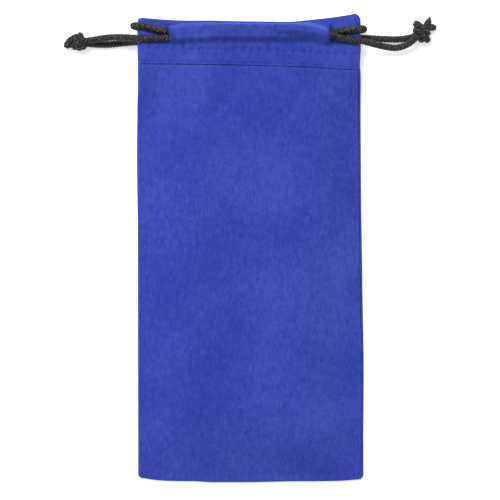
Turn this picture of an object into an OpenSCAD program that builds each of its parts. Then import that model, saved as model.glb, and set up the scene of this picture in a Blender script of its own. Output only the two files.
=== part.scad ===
// Soft drawstring pouch for glasses, lying flat on its back with the mouth towards +Y.
// One cloth blank is folded at the left, sewn at the right side and along the bottom, and
// turned. Its top is hemmed into a channel that two closed cords run through, one knotted
// at each side. Millimetres, +Z up, origin under the middle of the pouch on the table.

/* [Pouch] */
// Width over the side edges, halfway up the pouch
pouch_w = 89.4; // [84:0.2:94]
// Length from the bottom seam to the highest point of the mouth
pouch_l = 186.8; // [176:0.2:196]
// Height of the padded middle over the table
body_h = 8.4; // [8:0.1:9]
// Clear height of the mouth between the two hems
mouth_gap = 4.5; // [4.3:0.1:5]

/* [Cloth] */
// Thickness of one ply of microfibre cloth
ply = 0.4; // [0.3:0.05:0.45]
// Radius of the soft fold and of the seam edge below the mouth
fold_r = 1.2; // [1:0.1:1.4]
// Width of the cloth turned in along each seam
allowance_w = 4.4; // [3:0.2:5]

/* [Cords] */
// Diameter of the braided cord
cord_d = 2.5; // [2:0.1:2.5]
// Radius of the knot in each cord
knot_r = 3.6; // [3.2:0.1:3.8]

/* [Stitching] */
// Distance from one needle hole to the next in the hemmed rows
stitch_pitch = 3.4; // [2.8:0.1:4]
// Thickness of the sewing thread
thread_d = 0.3; // [0.2:0.05:0.4]

/* [Hidden] */

half_w = pouch_w / 2;
half_l = pouch_l / 2;
blue = "#3b4bad";
thread_blue = "#2c3a96";
charcoal = "#2b2b2e";

air = 0.08; // air left between plies that lie on each other
slit_x = 33; // buttonholes, out from the middle
slit_half = 2; // half of the opening across x
slit_low = 81.7; // lower end of every buttonhole
slit_high = 88.9; // upper end of every buttonhole
pile = cord_d + 2 * air; // one cord and the air round it

// heights in the header, from the table up
back_run_z = ply + air + cord_d / 2; // centre of the cord in the back channel
lift = ply + pile; // height of the back plies where a cord passes under them
back_roof = lift + ply; // top of the back hem between the buttonholes
front_floor = back_roof + mouth_gap; // underside of the front hem
front_top = front_floor + 2 * ply + air; // top of the two front plies
front_run_z = front_top + air + cord_d / 2; // centre of the cord on the front
head_r = (front_top - lift) / 2; // radius of the header's side edges

function clamp(q) = min(max(q, 0), 1);
function smooth(q) = let (t = clamp(q)) t * t * (3 - 2 * t);
function rise(q) = 1 - pow(1 - clamp(q), 2);
function mix(a, b, t) = a + (b - a) * t;
function steps(n) = [for (i = [0:n]) i / n];
function eased(n) = [for (t = steps(n)) (1 - cos(180 * t)) / 2];

// outline of the pouch: it narrows a little towards the mouth
function left_x(y) = -half_w - 0.25 - 0.15 * y / half_l;
function right_x(y) = half_w - 0.2 - 0.6 * y / half_l;
function bottom_y(x) = -half_l + 1.6 * pow(abs(x) / half_w, 8);
function top_y(x) = half_l - 3
    + 3 * pow(max(0, x - 4) / 38, 2.4) + 1.7 * pow(max(0, -20 - x) / 25, 1.5)
    - 3 * pow(max(0, x - 40.5) / 3.4, 3);

// the two sewn rows of the hem, which slope a little
channel_row = function (x) 80.1 - 0.032 * x - 0.0004 * x * x;
hem_row = function (x) 73.5 - 0.024 * x - 0.0002 * x * x;

// the side edges are rolls of cloth that grow and lift towards the mouth
function head(y) = smooth((y - 50) / 28);
function edge_r(y) = mix(fold_r, head_r, head(y));
function edge_z(y) = mix(fold_r, lift + head_r, head(y));
function inset(x, y) = min(x - left_x(y), right_x(y) - x) - edge_r(y);
function outboard(x) = smooth((abs(x) - slit_x + 1.5) / 2.5);
function shoulder(x) = smooth((abs(x) - 22) / 16);

// place across the pouch, -1 at the left roll and 1 at the right one
function across(s, y) = mix(left_x(y) + edge_r(y), right_x(y) - edge_r(y), (s + 1) / 2);

// outside of the front panel, and underside of the back panel
function front_z(x, y) = let (
    edge = edge_z(y) + edge_r(y),
    crown = mix(body_h, front_top, smooth((y - 58) / 14)),
    padded = rise(inset(x, y) / 28) * rise((y - bottom_y(x) - fold_r) / 30)
) edge + (crown - edge) * padded;
function back_z(x, y) = (edge_z(y) - edge_r(y)) * shoulder(x);

// how far the channel is open over the cords, 0 at its row and fold and 1 between
function fold_y(x) = top_y(x) - 0.9;
function open_at(x, y) = smooth((y - channel_row(x)) / 1.1) * smooth((fold_y(x) - y) / 1.1);
// extra height where one cord crosses over the other
function front_cross(x) = pile * smooth((x - 6) / 12);
function back_cross(x) = pile * smooth((x + 35) / 9) * smooth(-x / 9);

// underside of each header ply, from the back out to the front
back_channel_z = function (x, y)
    mix(back_z(x, y), lift * outboard(x), smooth((y - channel_row(x)) / 1.5));
back_hem_z = function (x, y) mix(
    back_channel_z(x, y) + ply + air,
    lift + (ply + air) * outboard(x) + back_cross(x),
    open_at(x, y));
front_hem_z = function (x, y) min(front_floor, front_z(x, y) - 2 * ply - air);
front_channel_z = function (x, y) front_floor + ply + air
    + (1 - outboard(x)) * open_at(x, y) * (lift + front_cross(x));

// A solid sheet between two surfaces over a grid. Cells that cut names are left open.
module sheet(us, vs, outer, inner, cut = function (u, v) false) {
    nu = len(us);
    nv = len(vs);
    top = [for (v = vs, u = us) outer(u, v)];
    low = [for (v = vs, u = us) inner(u, v)];
    function at(i, j) = j * nu + i;
    function solid(i, j) = i >= 0 && j >= 0 && i < nu - 1 && j < nv - 1
        && !cut((us[i] + us[i + 1]) / 2, (vs[j] + vs[j + 1]) / 2);
    function quad(a, b, c, d) = [[a, c, b], [a, d, c]];
    n = nu * nv;
    faces = [for (j = [0:nv - 2], i = [0:nu - 2]) if (solid(i, j)) each concat(
        quad(at(i, j), at(i + 1, j), at(i + 1, j + 1), at(i, j + 1)),
        quad(n + at(i, j), n + at(i, j + 1), n + at(i + 1, j + 1), n + at(i + 1, j)),
        solid(i, j - 1) ? [] : quad(n + at(i, j), n + at(i + 1, j), at(i + 1, j), at(i, j)),
        solid(i, j + 1) ? []
            : quad(at(i, j + 1), at(i + 1, j + 1), n + at(i + 1, j + 1), n + at(i, j + 1)),
        solid(i - 1, j) ? [] : quad(at(i, j), at(i, j + 1), n + at(i, j + 1), n + at(i, j)),
        solid(i + 1, j) ? []
            : quad(n + at(i + 1, j), n + at(i + 1, j + 1), at(i + 1, j + 1), at(i + 1, j))
    )];
    polyhedron(concat(top, low), faces);
}

// A ply that lies over the plan: low(x, y) is its underside
module cloth(us, vs, place, low, cut = function (u, v) false) {
    sheet(us, vs,
        function (u, v) let (p = place(u, v)) [p.x, p.y, low(p.x, p.y) + ply],
        function (u, v) let (p = place(u, v)) [p.x, p.y, low(p.x, p.y)],
        cut);
}

// A row of stitches along the line y = row(x), lying on the surface z(x, y)
module stitch_row(row, z) {
    count = floor((2 * half_w - 9) / stitch_pitch);
    for (i = [0:count - 1]) {
        x = (i - (count - 1) / 2) * stitch_pitch - 0.6;
        run = [2, row(x + 1) - row(x - 1), z(x + 1, row(x)) - z(x - 1, row(x))];
        translate([x, row(x), z(x, row(x)) + air + thread_d / 2])
            rotate([0, -atan(run.z / 2), atan(run.y / 2)])
            rotate([0, 90, 0])
            cylinder(h = stitch_pitch * 0.75, d = thread_d, center = true, $fn = 8);
    }
}

// The two bar tacks at the ends of a buttonhole on one side of the pouch
module buttonhole(side, z) {
    for (y = [slit_low - 0.5, slit_high + 0.5])
        translate([side * (slit_x + slit_half + 1.4) - 1.2, y - 0.4, z])
            cube([2.4, 0.8, thread_d]);
}

// A round cord along hand-set points, one ring of sides at each point of a smooth curve
function bend(p, t) = let (
    i = min(floor(t), len(p) - 2),
    f = t - i,
    a = p[max(i - 1, 0)],
    b = p[i],
    c = p[i + 1],
    d = p[min(i + 2, len(p) - 1)]
) b + (c - a) * f / 2 + (2 * a - 5 * b + 4 * c - d) * f * f / 2
    + (3 * b - a - 3 * c + d) * f * f * f / 2;
function unit(v) = v / norm(v);
module cord(route, rings_each) {
    sides = 8;
    last = len(route) - 1;
    line = [for (i = [0:last * rings_each]) bend(route, i / rings_each)];
    n = len(line);
    way = [for (i = [0:n - 1]) unit(line[min(i + 1, n - 1)] - line[max(i - 1, 0)])];
    // each ring's frame is the one before it, turned as little as possible
    function frames(i, side) = let (s = unit(side - (side * way[i]) * way[i]))
        i == n - 1 ? [s] : concat([s], frames(i + 1, s));
    side = frames(0, cross(way[0], [0, 0, 1]));
    rings = [for (i = [0:n - 1], k = [0:sides - 1]) let (a = 360 * (k + 0.5) / sides)
        line[i] + cord_d / 2 * (cos(a) * side[i] + sin(a) * cross(way[i], side[i]))];
    walls = [for (i = [0:n - 2], k = [0:sides - 1]) let (m = (k + 1) % sides)
        each [[i * sides + k, (i + 1) * sides + k, (i + 1) * sides + m],
            [i * sides + k, (i + 1) * sides + m, i * sides + m]]];
    ends = [[for (k = [0:sides - 1]) k],
        [for (k = [0:sides - 1]) n * sides - 1 - k]];
    polyhedron(rings, concat(walls, ends));
}

// Routes of the two cords, from the knot round the mouth and back to the knot
low_z = cord_d / 2;
run_z = front_run_z;
over_z = front_run_z + pile;
tail_z = back_run_z;
under_z = back_run_z + pile;
turn_r = (run_z - tail_z) / 2;
turn_z = (run_z + tail_z) / 2;
left_knot_at = [-68.6, 82.6, knot_r];
right_knot_at = [69.6, 86.6, knot_r];
left_route = [
    [-65.6, 82.9, 5.1], [-61, 83.7, 5], [-56, 84.2, 6.4], [-50, 84, 8.8],
    [-45, 83.5, run_z - 0.1], [-39, 83.5, run_z], [-32, 83.8, run_z], [-24, 84.4, run_z],
    [-12, 84.9, run_z], [0, 84.9, run_z], [12, 84.8, run_z], [20, 85.1, run_z],
    [26, 85.6, run_z], [33, 86, run_z], [38, 86.6, run_z], [41.5, 87.1, run_z],
    [41.3 + turn_r * 0.87, 87.5, turn_z + turn_r * 0.5],
    [41.3 + turn_r * 0.87, 87.5, turn_z - turn_r * 0.5],
    [41.5, 87.3, tail_z], [37, 87.1, tail_z], [30, 86.9, tail_z], [14, 87, tail_z],
    [0, 87, tail_z], [-8, 86.9, mix(tail_z, under_z, 0.6)], [-13, 86.3, under_z],
    [-18, 85, under_z], [-23, 83.8, under_z], [-28, 83.3, mix(tail_z, under_z, 0.6)],
    [-34, 83.2, tail_z], [-40, 83.1, tail_z], [-46, 82.9, tail_z - 0.2],
    [-52, 82.4, low_z + 0.15], [-58, 81.9, low_z + 0.15], [-63, 82, 1.8],
    [-65.8, 82.2, 2.3]
];
right_route = [
    [66.6, 84.7, 5.2], [63.4, 81.9, 4.6], [58.7, 80.3, 4.3], [53, 80.8, 5.6],
    [48.5, 81.6, 8.2], [44, 82.5, run_z], [39, 83, run_z + 0.1],
    [35, 83.8, run_z + 1], [30, 84.9, over_z], [25, 86.2, over_z], [20, 87.1, over_z],
    [15, 87.4, mix(run_z, over_z, 0.8)], [8, 87.5, run_z + 0.1], [0, 87.5, run_z],
    [-12, 87.5, run_z], [-24, 87, run_z], [-32, 86.3, run_z], [-38, 87.3, run_z],
    [-42.4, 88.4, run_z],
    [-42.5 - turn_r * 0.87, 88.8, turn_z + turn_r * 0.5],
    [-42.5 - turn_r * 0.87, 88.8, turn_z - turn_r * 0.5],
    [-42.4, 88.4, tail_z], [-37, 87.5, tail_z], [-30, 86.8, tail_z],
    [-24, 86.3, tail_z], [-18, 85.1, tail_z], [-12, 84, tail_z], [-4, 83.6, tail_z],
    [14, 83.8, tail_z], [30, 84, tail_z], [38, 84.3, tail_z], [44, 84.5, tail_z],
    [50, 84.3, low_z + 0.2], [56, 84, low_z + 0.15], [61, 84.1, 1.6], [65, 84.8, 2],
    [66.9, 85.6, 2.3]
];

module front_panel() {
    color(blue) cloth(
        [for (t = eased(26)) 2 * t - 1],
        [for (t = steps(28)) 1 - pow(1 - t, 1.25)],
        function (s, v) let (
            x0 = s * half_w,
            y = mix(bottom_y(x0) + fold_r, channel_row(x0) - air, v)
        ) [across(s, y), y],
        function (x, y) front_z(x, y) - ply);
}

module back_panel() {
    flat_top = 52;
    color(blue) {
        linear_extrude(ply) polygon(concat(
            [for (s = [-1:0.1:1]) let (y = bottom_y(s * half_w) + fold_r) [across(s, y), y]],
            [[across(1, flat_top), flat_top], [across(-1, flat_top), flat_top]]));
        cloth(
            header_s,
            steps(10),
            function (s, v) let (y = mix(flat_top, channel_row(s * half_w) - air, v))
                [across(s, y), y],
            function (x, y) back_z(x, y));
    }
}

// Half a roll of cloth up one side edge: side is -1 for the left and 1 for the right
module side_roll(side, high) {
    function thick(y) = y > 70 ? 2 * ply + air : ply;
    function around(r, turn, y) = let (
        x = side < 0 ? left_x(y) + edge_r(y) : right_x(y) - edge_r(y)
    ) [x + side * r * cos(turn), y, edge_z(y) + r * sin(turn)];
    sheet(
        [for (t = steps(8)) side * (90 - 180 * t)],
        [for (t = steps(36)) mix(-half_l + 3, high, 1 - pow(1 - t, 1.6))],
        function (turn, y) around(edge_r(y), turn, y),
        function (turn, y) around(edge_r(y) - thick(y), turn, y));
}

module left_fold() {
    color(blue) side_roll(-1, top_y(left_x(half_l)) - 0.6);
}

module side_seam() {
    color(blue) side_roll(1, top_y(43.4) - 0.6);
}

module side_seam_allowance() {
    color(blue)
        translate([half_w - 2.4 - allowance_w, -half_l + 8, ply + air])
        cube([allowance_w, 2 * half_l - 50, 2 * ply]);
}

module bottom_seam() {
    color(blue) sheet(
        [for (t = steps(24)) mix(-half_w + 3.4, half_w - 3.4, t)],
        [for (t = steps(8)) 180 * t],
        function (x, a) [x, bottom_y(x) + fold_r * (1 - sin(a)), fold_r * (1 + cos(a))],
        function (x, a) [x, bottom_y(x) + fold_r - (fold_r - ply) * sin(a),
            fold_r + (fold_r - ply) * cos(a)]);
}

module bottom_seam_allowance() {
    color(blue)
        translate([-half_w + 8, -half_l + 2.6, ply + air])
        cube([2 * half_w - 20, allowance_w, 2 * ply]);
}

// Each channel is left open over the buttonholes, between these lines of the grid
slit_in = (slit_x - slit_half) / 42;
slit_out = (slit_x + slit_half) / 42;
header_half = concat(
    [for (t = steps(9)) slit_in * t], [mix(slit_in, slit_out, 0.5)],
    [for (t = steps(4)) mix(slit_out, 1, t)]);
header_s = concat(
    [for (i = [len(header_half) - 1:-1:1]) -header_half[i]], header_half);
header_v = [0, 0.05, 0.1, 0.15, 0.3, 0.5, 0.7, 0.8, 0.85, 0.9, 0.95, 1];

module channel(low) {
    place = function (s, v) let (
        x0 = s * 42,
        y = v < 0.15 ? mix(channel_row(x0), slit_low, v / 0.15)
            : v > 0.85 ? mix(slit_high, fold_y(x0), (v - 0.85) / 0.15)
            : mix(slit_low, slit_high, (v - 0.15) / 0.7)
    ) [across(s, y), y];
    color(blue) cloth(header_s, header_v, place, low,
        function (s, v) v > 0.15 && v < 0.85 && abs(s) > slit_in && abs(s) < slit_out);
}

// The fold at the top that joins a channel to its hem
module mouth_fold(low) {
    outer_r = ply + air / 2;
    around = function (r, s, turn) let (
        x0 = s * 42,
        y0 = fold_y(x0),
        x = across(s, y0)
    ) [x, y0 + r * cos(turn), low(x, y0) + outer_r + r * sin(turn)];
    color(blue) sheet(
        header_s,
        [for (t = steps(6)) 90 - 180 * t],
        function (s, turn) around(outer_r, s, turn),
        function (s, turn) around(air / 2, s, turn));
}

module front_mouth_fold() {
    mouth_fold(front_hem_z);
}

module back_mouth_fold() {
    mouth_fold(back_channel_z);
}

module front_channel() {
    channel(front_channel_z);
}

module back_channel() {
    channel(back_channel_z);
}

module hem(low) {
    color(blue) cloth(
        header_s,
        [0, 0.2, 0.36, 0.41, 0.45, 0.49, 0.53, 0.65, 0.8, 0.88, 0.92, 0.96, 1],
        function (s, v) let (y = mix(hem_row(s * 42) - 0.8, fold_y(s * 42), v))
            [across(s, y), y],
        low);
}

module front_hem() {
    hem(front_hem_z);
}

module back_hem() {
    hem(back_hem_z);
}

front_face = function (x, y) front_z(x, y);
back_face = function (x, y) back_hem_z(x, y) + ply;
row_at = function (x) channel_row(x) - 0.8;

module front_channel_stitching() {
    color(thread_blue) stitch_row(row_at, front_face);
}

module front_hem_stitching() {
    color(thread_blue) stitch_row(hem_row, front_face);
}

module back_channel_stitching() {
    color(thread_blue) stitch_row(row_at, back_face);
}

module back_hem_stitching() {
    color(thread_blue) stitch_row(hem_row, back_face);
}

module side_seam_thread() {
    color(thread_blue)
        for (y = [-half_l + 8:stitch_pitch:48])
            translate([half_w - 2, y, 1.4])
            rotate([-90, 0, 0])
            cylinder(h = stitch_pitch * 0.8, d = thread_d, $fn = 8);
}

module bottom_seam_thread() {
    color(thread_blue)
        for (x = [-half_w + 8:stitch_pitch:half_w - 12])
            translate([x, -half_l + 2.1, 1.4])
            rotate([0, 90, 0])
            cylinder(h = stitch_pitch * 0.8, d = thread_d, $fn = 8);
}

module front_left_buttonhole() {
    color(thread_blue) buttonhole(-1, front_top + air);
}

module front_right_buttonhole() {
    color(thread_blue) buttonhole(1, front_top + air);
}

module back_left_buttonhole() {
    color(thread_blue) buttonhole(-1, lift - thread_d - 0.3);
}

module back_right_buttonhole() {
    color(thread_blue) buttonhole(1, lift - thread_d - 0.3);
}

module left_cord() {
    color(charcoal) cord(left_route, 2);
}

module right_cord() {
    color(charcoal) cord(right_route, 2);
}

module left_knot() {
    color(charcoal) translate(left_knot_at) sphere(knot_r, $fn = 32);
}

module right_knot() {
    color(charcoal) translate(right_knot_at) sphere(knot_r, $fn = 32);
}

// Two cut ends that stand out of a knot along the way of turn, in degrees from +X
module cord_ends(at, turn) {
    for (spread = [-1, 1])
        translate([at.x, at.y, cord_d / 2 + 1 + spread * 0.3])
            rotate([0, 0, turn + spread * 34])
            rotate([0, 90, 0])
            translate([0, 0, knot_r - 0.4])
            cylinder(h = 2.4, d = cord_d, $fn = 24);
}

module left_cord_ends() {
    color(charcoal) cord_ends(left_knot_at, 195);
}

module right_cord_ends() {
    color(charcoal) cord_ends(right_knot_at, 70);
}

front_panel();
back_panel();
left_fold();
side_seam();
side_seam_allowance();
bottom_seam();
bottom_seam_allowance();
front_channel();
back_channel();
front_mouth_fold();
back_mouth_fold();
front_hem();
back_hem();
front_channel_stitching();
back_channel_stitching();
front_hem_stitching();
back_hem_stitching();
side_seam_thread();
bottom_seam_thread();
front_left_buttonhole();
front_right_buttonhole();
back_left_buttonhole();
back_right_buttonhole();
left_cord();
left_knot();
left_cord_ends();
right_cord();
right_knot();
right_cord_ends();
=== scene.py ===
import math

import bpy
import numpy as np
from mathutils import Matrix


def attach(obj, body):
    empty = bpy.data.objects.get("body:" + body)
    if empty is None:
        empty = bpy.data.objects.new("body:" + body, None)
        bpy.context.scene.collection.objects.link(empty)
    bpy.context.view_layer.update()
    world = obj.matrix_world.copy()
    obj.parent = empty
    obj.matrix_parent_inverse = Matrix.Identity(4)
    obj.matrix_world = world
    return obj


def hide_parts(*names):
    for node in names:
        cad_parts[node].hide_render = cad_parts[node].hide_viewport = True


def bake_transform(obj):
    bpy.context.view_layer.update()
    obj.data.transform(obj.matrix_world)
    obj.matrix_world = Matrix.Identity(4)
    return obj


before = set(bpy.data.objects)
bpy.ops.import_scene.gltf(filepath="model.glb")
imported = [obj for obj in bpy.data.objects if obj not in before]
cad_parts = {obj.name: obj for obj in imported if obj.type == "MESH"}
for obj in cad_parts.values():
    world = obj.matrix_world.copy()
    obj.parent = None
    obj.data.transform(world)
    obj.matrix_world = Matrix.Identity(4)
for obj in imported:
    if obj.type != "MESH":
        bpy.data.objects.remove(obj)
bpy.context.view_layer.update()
mm = 0.001

# Camera
cameraPlan = {"lens": 135, "sensor": 36, "height": 0.7555, "aim": (-0.0001, -0.0007)}
cameraData = bpy.data.cameras.new("camera")
cameraData.lens = cameraPlan["lens"]
cameraData.sensor_width = cameraPlan["sensor"]
cameraData.clip_start = 0.01
camera = bpy.data.objects.new("camera", cameraData)
camera.location = (*cameraPlan["aim"], cameraPlan["height"])  # looks straight down
bpy.context.scene.collection.objects.link(camera)
bpy.context.scene.camera = camera

# Small maths
northward, upward = np.array([0.0, 1.0, 0.0]), np.array([0.0, 0.0, 1.0])


def clamp(q):
    return np.clip(q, 0, 1)


def smooth(q):  # 0 to 1 with level ends: t squared times (3 - 2t)
    t = clamp(q)
    return t * t * (3 - 2 * t)


def softRise(q):  # 1 - (1 - q) squared, with its start rounded off so no crease shows
    e = 0.09
    t = (np.sqrt(clamp(q) ** 2 + e * e) - e) / (math.sqrt(1 + e * e) - e)
    return 1 - (1 - t) ** 2


def mix(a, b, t):
    return a + (b - a) * t


def hump(d, width):  # bell curve: e to the power of minus (d / width) squared
    return np.exp(-((d / width) ** 2))


def unit(v):
    return v / np.linalg.norm(v, axis=-1, keepdims=True)


def softNoise(x, y, cellX, cellY, seed):
    # random heights from -1 to 1 at the corners of cells, eased between them
    table = np.random.default_rng(seed).uniform(-1, 1, (97, 97))
    u, v = x / cellX + 500, y / cellY + 500
    i, j = np.floor(u).astype(int), np.floor(v).astype(int)
    f, g = smooth(u - i), smooth(v - j)
    at = lambda a, b: table[(i + a) % 97, (j + b) % 97]
    return mix(mix(at(0, 0), at(1, 0), f), mix(at(0, 1), at(1, 1), f), g)


def bend(route, each):
    # smooth curve through the points of a route: uniform Catmull-Rom, each parts a span
    p = np.asarray(route, float)
    n = len(p) - 1
    t = np.linspace(0, n, n * each + 1)
    i = np.minimum(t.astype(int), n - 1)
    f = (t - i)[:, None]
    a, b, c, d = p[np.maximum(i - 1, 0)], p[i], p[i + 1], p[np.minimum(i + 2, n)]
    return (b + (c - a) * f / 2 + (2 * a - 5 * b + 4 * c - d) * f**2 / 2
            + (3 * b - a - 3 * c + d) * f**3 / 2)


def evenly(line, step):  # the same line with its points a step apart
    run = np.concatenate([[0], np.cumsum(np.linalg.norm(np.diff(line, axis=0), axis=1))])
    at = np.linspace(0, run[-1], max(3, int(round(run[-1] / step)) + 1))
    return np.stack([np.interp(at, run, line[:, k]) for k in range(3)], 1), at


# Making meshes
def makePiece(name, points, faces, material, uv=None, sharpAt=50):
    mesh = bpy.data.meshes.new(name)
    mesh.from_pydata((np.asarray(points) * mm).tolist(), [], faces)
    if uv is not None:
        layer = mesh.uv_layers.new(name="along")
        layer.uv.foreach_set("vector", np.asarray(uv, np.float32).ravel())
    mesh.shade_smooth()
    mesh.set_sharp_from_angle(angle=math.radians(sharpAt))
    mesh.materials.append(material)
    mesh.update()
    piece = bpy.data.objects.new(name, mesh)
    bpy.context.scene.collection.objects.link(piece)
    return piece


def closedSheet(points, index, keep, thickness, flip):
    # A ply of cloth: the grid is its outer face, the inner face is the same grid moved
    # in along the normals by the thickness, and strips close every open edge.
    cells = np.stack(
        [index[:-1, :-1], index[1:, :-1], index[1:, 1:], index[:-1, 1:]], -1)[keep]
    if flip:
        cells = cells[:, ::-1]
    used, cells = np.unique(cells, return_inverse=True)
    cells = cells.reshape(-1, 4)
    outer = points.reshape(-1, 3)[used]
    corner = outer[cells]
    facing = np.cross(corner[:, 2] - corner[:, 0], corner[:, 3] - corner[:, 1])
    normals = np.zeros_like(outer)
    for k in range(4):
        np.add.at(normals, cells[:, k], facing)
    count = len(outer)
    inner = outer - unit(normals) * thickness
    a, b = cells.ravel(), np.roll(cells, -1, 1).ravel()
    rim = ~np.isin(a * count + b, b * count + a)
    a, b = a[rim], b[rim]
    strips = np.stack([b, a, a + count, b + count], 1)
    faces = np.concatenate([cells, cells[:, ::-1] + count, strips])
    return np.concatenate([outer, inner]), faces.tolist()


def tubes(lines, across, wide, thick, sides=8):
    # Several tubes at once. Each ring is an ellipse about its line's point, half sizes
    # wide along the given side and thick along the other, and fans close the ends.
    m, n = lines.shape[:2]
    way = unit(np.gradient(lines, axis=1))
    across = unit(across - np.sum(across * way, -1, keepdims=True) * way)
    other = np.cross(way, across)
    turn = 2 * np.pi * (np.arange(sides) + 0.5) / sides
    wide = np.broadcast_to(wide, (m, n))[..., None, None]
    thick = np.broadcast_to(thick, (m, n))[..., None, None]
    rings = (lines[:, :, None] + wide * np.cos(turn)[:, None] * across[:, :, None]
             + thick * np.sin(turn)[:, None] * other[:, :, None])
    points = np.concatenate([rings.reshape(-1, 3), lines[:, 0], lines[:, -1]])
    index = np.arange(m * n * sides).reshape(m, n, sides)
    after = np.roll(index, -1, 2)
    quads = np.stack([index[:, :-1], after[:, :-1], after[:, 1:], index[:, 1:]], -1)
    first = np.broadcast_to(m * n * sides + np.arange(m)[:, None], (m, sides))
    capA = np.stack([first, after[:, 0], index[:, 0]], -1).reshape(-1, 3)
    capB = np.stack([first + m, index[:, -1], after[:, -1]], -1).reshape(-1, 3)
    run = np.zeros((m, n))
    run[:, 1:] = np.cumsum(np.linalg.norm(np.diff(lines, axis=1), axis=2), 1)
    k = np.broadcast_to(np.arange(sides), (m, n - 1, sides))
    u0 = np.broadcast_to(run[:, :-1, None], k.shape)
    u1 = np.broadcast_to(run[:, 1:, None], k.shape)
    uv = np.stack([np.stack([u0, k / sides], -1), np.stack([u0, (k + 1) / sides], -1),
                   np.stack([u1, (k + 1) / sides], -1), np.stack([u1, k / sides], -1)], -2)
    uv = np.concatenate([uv.reshape(-1, 2), np.zeros((3 * (len(capA) + len(capB)), 2))])
    faces = quads.reshape(-1, 4).tolist() + capA.tolist() + capB.tolist()
    return points, faces, uv


def joined(parts):  # several (points, faces, uv) made one
    points, faces, uvs, start = [], [], [], 0
    for p, f, uv in parts:
        points.append(p)
        faces += [[i + start for i in face] for face in f]
        uvs.append(uv)
        start += len(p)
    return np.concatenate(points), faces, np.concatenate(uvs)


# Materials
def linear(hexColour):  # sRGB hex to linear RGBA
    parts = [int(hexColour[i:i + 2], 16) / 255 for i in (1, 3, 5)]
    lift = lambda c: c / 12.92 if c <= 0.04045 else ((c + 0.055) / 1.055) ** 2.4
    return (*(lift(c) for c in parts), 1.0)


def addNode(tree, kind, inputs=None, **settings):
    made = tree.nodes.new(kind)
    for name, value in settings.items():
        setattr(made, name, value)
    for name, value in (inputs or {}).items():
        if isinstance(value, bpy.types.NodeSocket):
            tree.links.new(value, made.inputs[name])
        else:
            made.inputs[name].default_value = value
    return made


def startMaterial(name):
    material = bpy.data.materials.new(name)
    material.use_nodes = True
    tree = material.node_tree
    tree.nodes.clear()
    shader = addNode(tree, "ShaderNodeBsdfPrincipled")
    addNode(tree, "ShaderNodeOutputMaterial", {"Surface": shader.outputs[0]})
    return material, tree, shader


def ramp(tree, factor, stops):  # colours along a value
    made = addNode(tree, "ShaderNodeValToRGB", {"Fac": factor})
    spots = made.color_ramp.elements
    while len(spots) < len(stops):
        spots.new(0.5)
    for spot, (place, colour) in zip(spots, stops):
        spot.position, spot.color = place, colour
    return made.outputs["Color"]


def suede():
    # Brushed polyester microfibre knit: matt, with a short nap that catches light at
    # grazing angles, and the ribs of the knit showing through as fine upright streaks.
    look = {
        "dark": "#273697", "middle": "#3241a1", "light": "#3e4dac",
        # sizes in mm, with the ribs drawn coarser than the 0.3 mm knit
        "ribWidth": 0.6, "ribLength": 3.6, "ribDepth": 3, "napSize": 0.45,
        "mottleSize": 2.4, "patchSize": 26.0, "lintSpacing": 7.0, "lint": "#8c98dc",
        "sheen": "#8fa0f0",
    }
    material, tree, shader = startMaterial("microfibre suede, royal blue")
    place = addNode(tree, "ShaderNodeTexCoord").outputs["Object"]
    rib = addNode(tree, "ShaderNodeMapping", {
        "Vector": place,
        "Scale": tuple(1000 / look["rib" + way] for way in ("Width", "Length", "Depth"))})
    ribs = addNode(tree, "ShaderNodeTexNoise", {
        "Vector": rib.outputs[0], "Scale": 1.0, "Detail": 2.0, "Roughness": 0.6})
    nap = addNode(tree, "ShaderNodeTexNoise", {
        "Vector": place, "Scale": 1000 / look["napSize"], "Detail": 3.0})
    mottle = addNode(tree, "ShaderNodeTexNoise", {
        "Vector": place, "Scale": 1000 / look["mottleSize"], "Detail": 3.0,
        "Roughness": 0.6})
    patch = addNode(tree, "ShaderNodeTexNoise", {
        "Vector": place, "Scale": 1000 / look["patchSize"], "Detail": 1.0})
    a = addNode(tree, "ShaderNodeMix", {
        "Factor": 0.5, "A": ribs.outputs["Fac"], "B": mottle.outputs["Fac"]})
    b = addNode(tree, "ShaderNodeMix", {
        "Factor": 0.36, "A": a.outputs["Result"], "B": nap.outputs["Fac"]})
    c = addNode(tree, "ShaderNodeMix", {
        "Factor": 0.25, "A": b.outputs["Result"], "B": patch.outputs["Fac"]})
    colour = ramp(tree, c.outputs["Result"], [
        (0.4, linear(look["dark"])), (0.5, linear(look["middle"])),
        (0.6, linear(look["light"]))])
    # a few specks of pale lint caught in the nap
    lint = addNode(tree, "ShaderNodeTexVoronoi", {
        "Vector": place, "Scale": 1000 / look["lintSpacing"], "Randomness": 1.0})
    speck = addNode(tree, "ShaderNodeMath", {
        0: lint.outputs["Distance"], 1: 0.035}, operation="LESS_THAN")
    faint = addNode(tree, "ShaderNodeMath", {
        0: speck.outputs[0], 1: 0.25}, operation="MULTIPLY")
    tinted = addNode(tree, "ShaderNodeMix", {
        "Factor": faint.outputs[0], "A": colour, "B": linear(look["lint"])},
        data_type="RGBA")
    tree.links.new(tinted.outputs["Result"], shader.inputs["Base Color"])
    relief = addNode(tree, "ShaderNodeMath", {
        0: ribs.outputs["Fac"], 1: nap.outputs["Fac"]}, operation="ADD")
    bump = addNode(tree, "ShaderNodeBump", {
        "Height": relief.outputs[0], "Strength": 0.55, "Distance": 0.00012})
    tree.links.new(bump.outputs["Normal"], shader.inputs["Normal"])
    shader.inputs["Roughness"].default_value = 0.92
    shader.inputs["Specular IOR Level"].default_value = 0.18
    shader.inputs["Sheen Weight"].default_value = 0.5
    shader.inputs["Sheen Roughness"].default_value = 0.45
    shader.inputs["Sheen Tint"].default_value = linear(look["sheen"])
    return material


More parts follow.
